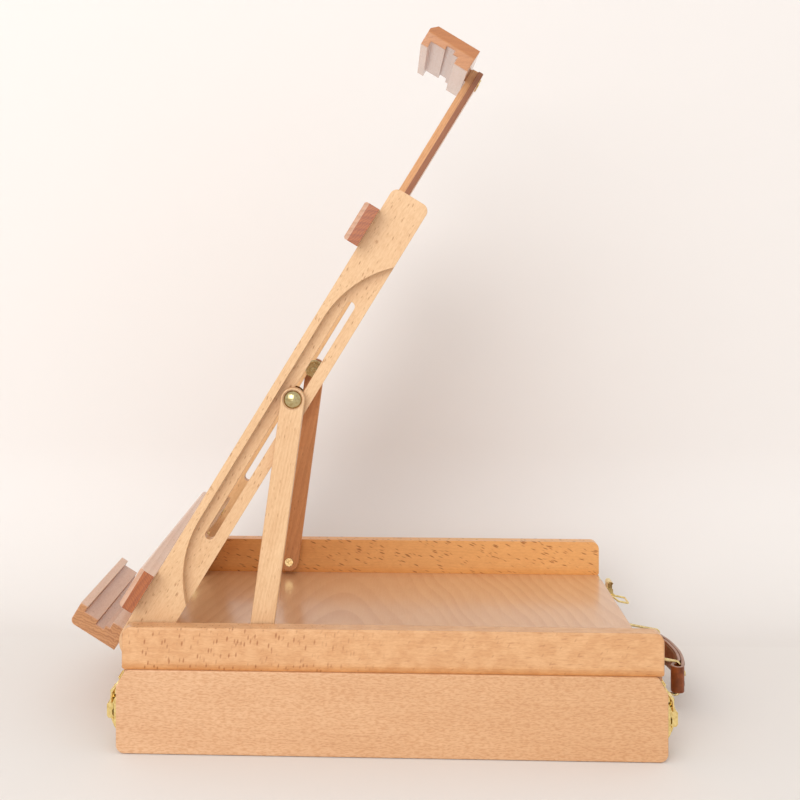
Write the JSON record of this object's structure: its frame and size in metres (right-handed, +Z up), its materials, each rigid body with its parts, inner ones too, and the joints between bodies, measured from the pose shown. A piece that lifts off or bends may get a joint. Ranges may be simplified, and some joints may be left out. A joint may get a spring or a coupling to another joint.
{
  "type": "pochade box",
  "caption": "Wooden sketch box with a lift-off lid that carries a folding easel: slotted members, struts, cross rails, sliding mast, grooved canvas grips, draw latches and a leather handle.",
  "frame": {"origin": "centre of the underside of the box, on the surface it stands on", "axes": "+Z up, -Y towards the artist, +X to the side of the box nearest in the picture"},
  "size_m": [0.3, 0.4954, 0.5445],
  "materials": {
    "beech_pale": "pale beech, clear satin lacquer",
    "beech_rail": "flecked beech, clear satin lacquer",
    "ply": "plain plywood",
    "panel_gloss": "veneered panel, clear gloss lacquer",
    "beech_frame": "flecked beech, clear satin lacquer",
    "red_beech": "steamed reddish beech, clear satin lacquer",
    "mast_wood": "beech, clear satin lacquer",
    "leather": "brown finished leather",
    "brass": "polished pale brass plate"
  },
  "bodies": {
    "box": {"side_board_right": "beech_pale", "side_board_left": "beech_pale", "front_wall": "beech_pale", "back_wall": "beech_pale", "base_panel": "ply", "divider_long": "ply", "divider_cross": "ply", "latch_plates": "brass", "latch_pins": "brass", "latch_screws": "brass", "handle_brackets": "brass", "handle_bracket_screws": "brass"},
    "lid": {"lid_panel": "panel_gloss", "lid_rail_right": "beech_rail", "lid_rail_left": "beech_rail", "pivot_washers": "brass", "easel_pivot_screws": "brass", "arm_pivot_screws": "brass", "latch_catches": "brass"},
    "easel": {"easel_member_right": "beech_frame", "easel_member_left": "beech_frame", "cross_rail_lower": "red_beech", "cross_rail_upper": "red_beech", "mast_guide_right": "beech_frame", "mast_guide_left": "beech_frame", "canvas_ledge": "red_beech", "mast_clamp_block": "red_beech", "mast_keeper": "beech_frame", "guide_screws": "brass"},
    "mast_slider": {"mast": "mast_wood", "holder_packer": "red_beech", "canvas_holder_upper": "red_beech", "holder_screws": "brass"},
    "clamp_knob": {"mast_knob": "brass"},
    "strut_right": {"arm_right": "beech_frame", "lock_bolt_head_right": "brass"},
    "strut_left": {"arm_left": "beech_frame", "lock_bolt_head_left": "brass"},
    "lock_slider_right": {"lock_bolt_right": "brass", "lock_washer_right": "brass"},
    "lock_slider_left": {"lock_bolt_left": "brass", "lock_washer_left": "brass"},
    "nut_right": {"lock_nut_right": "brass"},
    "nut_left": {"lock_nut_left": "brass"},
    "handle_loop_right": {"handle_ring_right": "brass"},
    "handle_loop_left": {"handle_ring_left": "brass"},
    "handle_grip": {"handle_strap": "leather", "strap_rivets": "brass"},
    "lever_front_right": {"latch_lever_front_right": "brass"},
    "bail_front_right": {"latch_bail_front_right": "brass"},
    "lever_front_left": {"latch_lever_front_left": "brass"},
    "bail_front_left": {"latch_bail_front_left": "brass"},
    "lever_back_right": {"latch_lever_back_right": "brass"},
    "bail_back_right": {"latch_bail_back_right": "brass"},
    "lever_back_left": {"latch_lever_back_left": "brass"},
    "bail_back_left": {"latch_bail_back_left": "brass"}
  },
  "joints": [
    {"name": "lid_lift", "type": "slide", "parent": "box", "child": "lid", "axis": [0, 0, 1], "range_m": [0, 0.12]},
    {"name": "easel_tilt", "type": "hinge", "parent": "lid", "child": "easel", "pos_m": [0, -0.1856, 0.0771], "axis": [1, 0, 0], "range_deg": [-58.45, 6]},
    {"name": "mast_height", "type": "slide", "parent": "easel", "child": "mast_slider", "axis": [0, 0.5232, 0.8522], "range_m": [-0.105, 0.15]},
    {"name": "clamp_knob_turn", "type": "hinge", "parent": "easel", "child": "clamp_knob", "pos_m": [0, -0.01188, 0.36002], "axis": [0, 0.8522, -0.5232], "continuous": true},
    {"name": "strut_swing_right", "type": "hinge", "parent": "lid", "child": "strut_right", "pos_m": [0.13, -0.0967, 0.0725], "axis": [1, 0, 0], "range_deg": [-81.8, 8.5]},
    {"name": "lock_slide_right", "type": "slide", "parent": "easel", "child": "lock_slider_right", "axis": [0, 0.5232, 0.8522], "range_m": [-0.008, 0.0635]},
    {"name": "lock_nut_turn_right", "type": "hinge", "parent": "lock_slider_right", "child": "nut_right", "pos_m": [0.112, -0.07166, 0.25732], "axis": [1, 0, 0], "continuous": true},
    {"name": "strut_swing_left", "type": "hinge", "parent": "lid", "child": "strut_left", "pos_m": [-0.13, -0.0967, 0.0725], "axis": [1, 0, 0], "range_deg": [-81.8, 8.5]},
    {"name": "lock_slide_left", "type": "slide", "parent": "easel", "child": "lock_slider_left", "axis": [0, 0.5232, 0.8522], "range_m": [-0.008, 0.0635]},
    {"name": "lock_nut_turn_left", "type": "hinge", "parent": "lock_slider_left", "child": "nut_left", "pos_m": [-0.112, -0.07166, 0.25732], "axis": [1, 0, 0], "continuous": true},
    {"name": "latch_lever_front_right_lift", "type": "hinge", "parent": "box", "child": "lever_front_right", "pos_m": [0.126, -0.2066, 0.0393], "axis": [-1, 0, 0], "range_deg": [0, 180]},
    {"name": "latch_bail_front_right_swing", "type": "hinge", "parent": "lever_front_right", "child": "bail_front_right", "pos_m": [0.126, -0.2068, 0.0318], "axis": [-1, 0, 0], "range_deg": [-315.28, 1]},
    {"name": "latch_lever_front_left_lift", "type": "hinge", "parent": "box", "child": "lever_front_left", "pos_m": [-0.126, -0.2066, 0.0393], "axis": [-1, 0, 0], "range_deg": [0, 180]},
    {"name": "latch_bail_front_left_swing", "type": "hinge", "parent": "lever_front_left", "child": "bail_front_left", "pos_m": [-0.126, -0.2068, 0.0318], "axis": [-1, 0, 0], "range_deg": [-315.28, 1]},
    {"name": "latch_lever_back_right_lift", "type": "hinge", "parent": "box", "child": "lever_back_right", "pos_m": [0.126, 0.2066, 0.0393], "axis": [1, 0, 0], "range_deg": [0, 180]},
    {"name": "latch_bail_back_right_swing", "type": "hinge", "parent": "lever_back_right", "child": "bail_back_right", "pos_m": [0.126, 0.2068, 0.0318], "axis": [1, 0, 0], "range_deg": [-315.28, 1]},
    {"name": "latch_lever_back_left_lift", "type": "hinge", "parent": "box", "child": "lever_back_left", "pos_m": [-0.126, 0.2066, 0.0393], "axis": [1, 0, 0], "range_deg": [-180, 0]},
    {"name": "latch_bail_back_left_swing", "type": "hinge", "parent": "lever_back_left", "child": "bail_back_left", "pos_m": [-0.126, 0.2064, 0.0468], "axis": [1, 0, 0], "range_deg": [-1, 315.28]},
    {"name": "handle_loop_right_swing", "type": "hinge", "parent": "box", "child": "handle_loop_right", "pos_m": [0.038, 0.203, 0.03], "axis": [0, 0, 1], "range_deg": [-60, 60]},
    {"name": "handle_loop_left_swing", "type": "hinge", "parent": "box", "child": "handle_loop_left", "pos_m": [-0.038, 0.203, 0.03], "axis": [0, 0, 1], "range_deg": [-62, 62]},
    {"name": "handle_grip_swing", "type": "hinge", "parent": "handle_loop_right", "child": "handle_grip", "pos_m": [0.038, 0.233, 0.024], "axis": [0, 0, 1], "range_deg": [-62, 62]}
  ],
  "couplings": [
    {"joint": "strut_swing_right", "follows": "easel_tilt", "ratio": 1.3983},
    {"joint": "lock_slide_right", "follows": "easel_tilt", "m_per_rad": -0.060972},
    {"joint": "strut_swing_left", "follows": "easel_tilt", "ratio": 1.3983},
    {"joint": "lock_slide_left", "follows": "easel_tilt", "m_per_rad": -0.060972},
    {"joint": "latch_bail_front_right_swing", "follows": "latch_lever_front_right_lift", "ratio": -1.746},
    {"joint": "latch_bail_front_left_swing", "follows": "latch_lever_front_left_lift", "ratio": -1.746},
    {"joint": "latch_bail_back_right_swing", "follows": "latch_lever_back_right_lift", "ratio": -1.746},
    {"joint": "latch_bail_back_left_swing", "follows": "latch_lever_back_left_lift", "ratio": -1.746},
    {"joint": "handle_loop_left_swing", "follows": "handle_loop_right_swing", "ratio": 1},
    {"joint": "handle_grip_swing", "follows": "handle_loop_right_swing", "ratio": -1}
  ]
}
